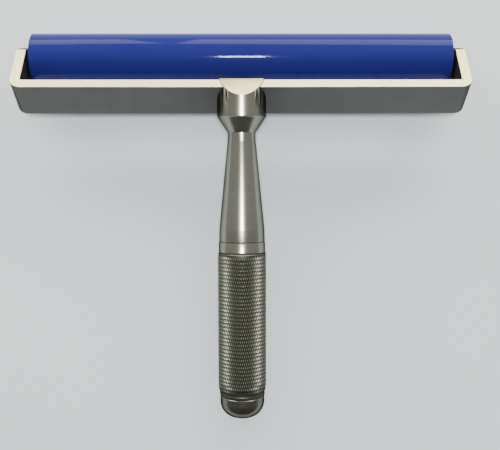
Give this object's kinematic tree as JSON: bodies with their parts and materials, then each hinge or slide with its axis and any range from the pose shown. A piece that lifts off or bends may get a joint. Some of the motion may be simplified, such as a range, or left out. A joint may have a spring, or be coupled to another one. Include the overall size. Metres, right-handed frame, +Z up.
{
  "type": "cleaning roller",
  "caption": "Hand-held cleaning roller: a glossy soft sleeve turning on ball bearings in a U-shaped flat-bar frame with a turned, knurled metal handle.",
  "frame": {"origin": "on the table under the middle of the tool as it lies at rest, with the roller and the end of the handle touching Z = 0", "axes": "+X along the roller's axle, +Y from the handle towards the roller, +Z up from the table"},
  "size_m": [0.27, 0.2348, 0.0476],
  "materials": {
    "frame_bar": "matte grey flat bar",
    "turned_metal": "turned and polished",
    "knurled_metal": "diamond knurled",
    "screw_steel": "blackened, worn at the socket",
    "axle_steel": "ground",
    "bearing_steel": "ground and polished",
    "cage_brass": "pressed sheet",
    "core_aluminium": "drawn tube and turned plugs",
    "silicone": "glossy, slightly tacky"
  },
  "bodies": {
    "frame": {"frame_bracket": "frame_bar", "handle_neck": "turned_metal", "grip_collar": "turned_metal", "grip_sleeve": "knurled_metal", "end_cap": "turned_metal", "tie_rod": "axle_steel", "handle_screws": "screw_steel", "axle": "axle_steel", "axle_screw_left": "screw_steel", "axle_screw_right": "screw_steel", "spacer_left": "core_aluminium", "spacer_right": "core_aluminium", "inner_ring_left": "bearing_steel", "inner_ring_right": "bearing_steel"},
    "roller": {"cleaning_sleeve": "silicone", "core_tube": "core_aluminium", "end_plug_left": "core_aluminium", "end_plug_right": "core_aluminium", "outer_ring_left": "bearing_steel", "outer_ring_right": "bearing_steel", "bearing_shields_left": "bearing_steel", "bearing_shields_right": "bearing_steel", "retaining_clip_left": "screw_steel", "retaining_clip_right": "screw_steel"},
    "cage_left": {"ball_cage_left": "cage_brass", "bearing_balls_left": "bearing_steel"},
    "cage_right": {"ball_cage_right": "cage_brass", "bearing_balls_right": "bearing_steel"}
  },
  "joints": [
    {"name": "roller_spin", "type": "hinge", "parent": "frame", "child": "roller", "pos_m": [0, 0.1027, 0.01475], "axis": [1, 0, 0], "continuous": true},
    {"name": "cage_left_spin", "type": "hinge", "parent": "frame", "child": "cage_left", "pos_m": [0, 0.1027, 0.01475], "axis": [1, 0, 0], "continuous": true},
    {"name": "cage_right_spin", "type": "hinge", "parent": "frame", "child": "cage_right", "pos_m": [0, 0.1027, 0.01475], "axis": [1, 0, 0], "continuous": true}
  ],
  "couplings": [
    {"joint": "cage_left_spin", "follows": "roller_spin", "ratio": 0.5825},
    {"joint": "cage_right_spin", "follows": "roller_spin", "ratio": 0.5825}
  ]
}
